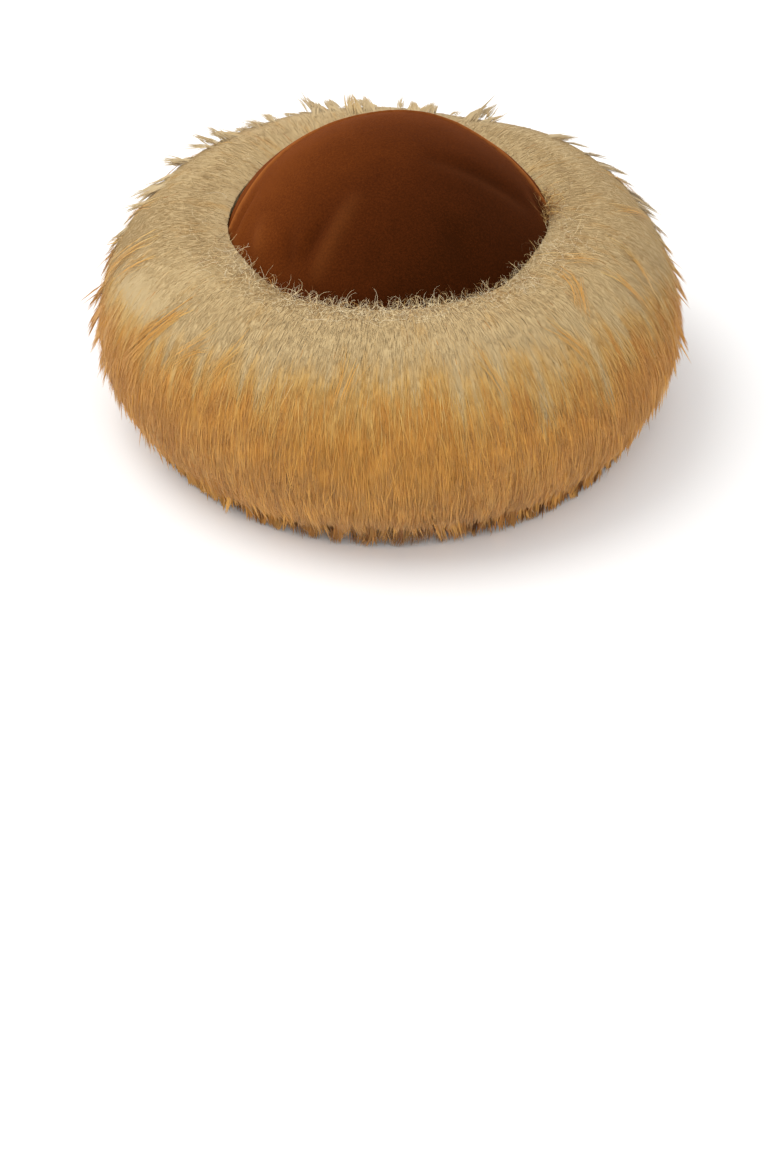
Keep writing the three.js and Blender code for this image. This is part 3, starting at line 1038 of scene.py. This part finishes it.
def growWisps(material):
    chance = np.random.default_rng(fur["seed"] + 1)
    paths, facings, across = [], [], []
    steps = np.linspace(0, 1, 6)[None]
    for azimuth, place, length, turned, hairs, tone in furWisps:
        ownPlace = place + chance.normal(0, 8.0, (hairs, 1))
        ownTurn = azimuth + chance.normal(0, 2.2, (hairs, 1))
        draw = 0.7 * np.sin(np.minimum(steps, 0.7) / 0.7 * np.pi / 2)
        at = (ownPlace + (place - ownPlace) * draw
              + length * steps * chance.uniform(0.8, 1.05, (hairs, 1)))
        turn = ownTurn + (azimuth - ownTurn) * draw + turned * steps ** 1.2
        height = (1.0 + 2.5 * steps ** 1.2 + chance.normal(0, 0.5, (hairs, 1))
                  - 3 * (1 - steps) ** 3)
        points, normals = hairPaths(at, turn, height)
        paths.append(points)
        facings.append(normals)
        across.append(packTone(np.full(hairs, tone * 0.8) + chance.normal(0, 0.08, hairs),
                               chance.uniform(0.4, 1.0, hairs)))
    widths = chance.uniform(0.1, 0.2, sum(map(len, paths)))
    hairMesh("fur_wisps", np.concatenate(paths), np.concatenate(facings), widths,
             np.concatenate(across), 0.3, np.random.default_rng(fur["seed"] + 2), material)


# short hairs that curl over the edge of the fur, and soft ones that close the gap to the crown
frizz = [
    # places are along the section and heights are off it, where a hair starts. curl is its bends'
    # radius, and inward and upright are how far it leans to the crown and up.
    {"name": "frizz", "hairs": 2300, "points": 8, "halfWidth": 0.07, "length": (7, 15),
     "curl": (1.8, 4.2), "places": (3, 24), "heights": (-0.5, 2.5), "atFront": 0.92,
     "inward": 0.0, "upright": -0.1},
    {"name": "collar", "hairs": 1300, "points": 6, "halfWidth": 0.11, "length": (5, 9),
     "curl": (2.0, 5.0), "places": (0, 4), "heights": (-1, 0), "atFront": 0.2,
     "inward": -0.4, "upright": 0.0},
]
frizzFront = (272, 42)  # in degrees, the middle of what is at the front and how far it spreads
# the browner tuft at the right end of the crown's edge, out of the same hairs
cornerTuft = {
    "azimuth": 1, "wide": 5, "hairs": 150, "place": 3, "length": (12, 24), "upright": 0.9,
    "thicker": 1.5, "colours": (0.1, 0.6),
}


def curlyPaths(kind, azimuth, place, length, upright, chance):
    # hairs that start in the fur beside the crown and wind about
    count, steps = len(azimuth), kind["points"]
    section, _ = overSection(place, chance.uniform(*kind["heights"], count))
    step = length / (steps - 1)
    way = np.stack([chance.normal(0, 1.0, count), chance.normal(-kind["inward"], 0.5, count),
                    chance.normal(upright, 0.35)], axis=-1)
    way /= np.linalg.norm(way, axis=-1, keepdims=True)
    axis = chance.normal(0, 1, (count, 3))
    axis /= np.linalg.norm(axis, axis=-1, keepdims=True)
    angle = step / chance.uniform(*kind["curl"], count)
    at = np.stack([np.zeros(count), section[:, 0], section[:, 1]], axis=-1)
    path = [at]
    for _ in range(steps - 1):
        at = at + way * step[:, None]
        path.append(at)
        along = axis * (axis * way).sum(1, keepdims=True)
        c, s = np.cos(angle)[:, None], np.sin(angle)[:, None]
        way = (way * c + np.cross(axis, way) * s + along * (1 - c)
               + chance.normal(0, 0.12, (count, 3)))
        way /= np.linalg.norm(way, axis=-1, keepdims=True)
    path = np.stack(path, axis=1)
    turn = azimuth[:, None] + np.degrees(path[..., 0] / form["bellyAlong"])
    points = furPlace(turn, np.maximum(path[..., 1], 0.5), path[..., 2])
    flat = np.full((count, steps, 2), (0.35, 0.94))
    return points, furNormal(turn, flat)


def growFrizz(material, softMaterial):
    chance = np.random.default_rng(fur["seed"] + 7)
    for kind in frizz:
        count = kind["hairs"]
        front = chance.random(count) < kind["atFront"]
        azimuth = np.where(front, chance.normal(*frizzFront, count), chance.random(count) * 360)
        low, high = kind["places"]
        place = chance.triangular(low, (low + high) / 2, high, count)
        length = chance.uniform(*kind["length"], count)
        halfWidth = kind["halfWidth"] * chance.uniform(0.7, 1.3, count)
        upright = np.full(count, kind["upright"])
        if kind["name"] == "frizz":
            hairs = cornerTuft["hairs"]
            azimuth[:hairs] = chance.normal(cornerTuft["azimuth"], cornerTuft["wide"], hairs)
            place[:hairs] = cornerTuft["place"]
            length[:hairs] = chance.uniform(*cornerTuft["length"], hairs)
            upright[:hairs] = cornerTuft["upright"]
            halfWidth[:hairs] *= cornerTuft["thicker"]
            # some are dark brown, as painted shade in the gaps between the curls, and most are pale
            across = np.where(chance.random(count) < 0.3, chance.uniform(0.02, 0.4, count),
                              chance.uniform(0.6, 0.98, count))
            across[:hairs] = chance.uniform(*cornerTuft["colours"], hairs)
            tilt, own = 0.5, material
        else:
            tone = np.where(chance.random(count) < 0.006, 0.8, chance.normal(0.06, 0.05, count))
            across = packTone(tone, chance.normal(0.55, 0.08, count))
            tilt, own = 0.1, softMaterial
        points, normals = curlyPaths(kind, azimuth, place, length, upright, chance)
        hairMesh("fur_" + kind["name"], points, normals, halfWidth, across, tilt, chance, own)


ring = furRing()
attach(ring, "root")
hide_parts("fur_band")
print(ring.name, "has", len(ring.data.polygons), "faces")
hair = hairMaterial("furHair", strandColour)
growFur(hair)
growGuardHair(hair)
growWisps(hair)
growFrizz(hairMaterial("frizzHair", frizzColour), hair)
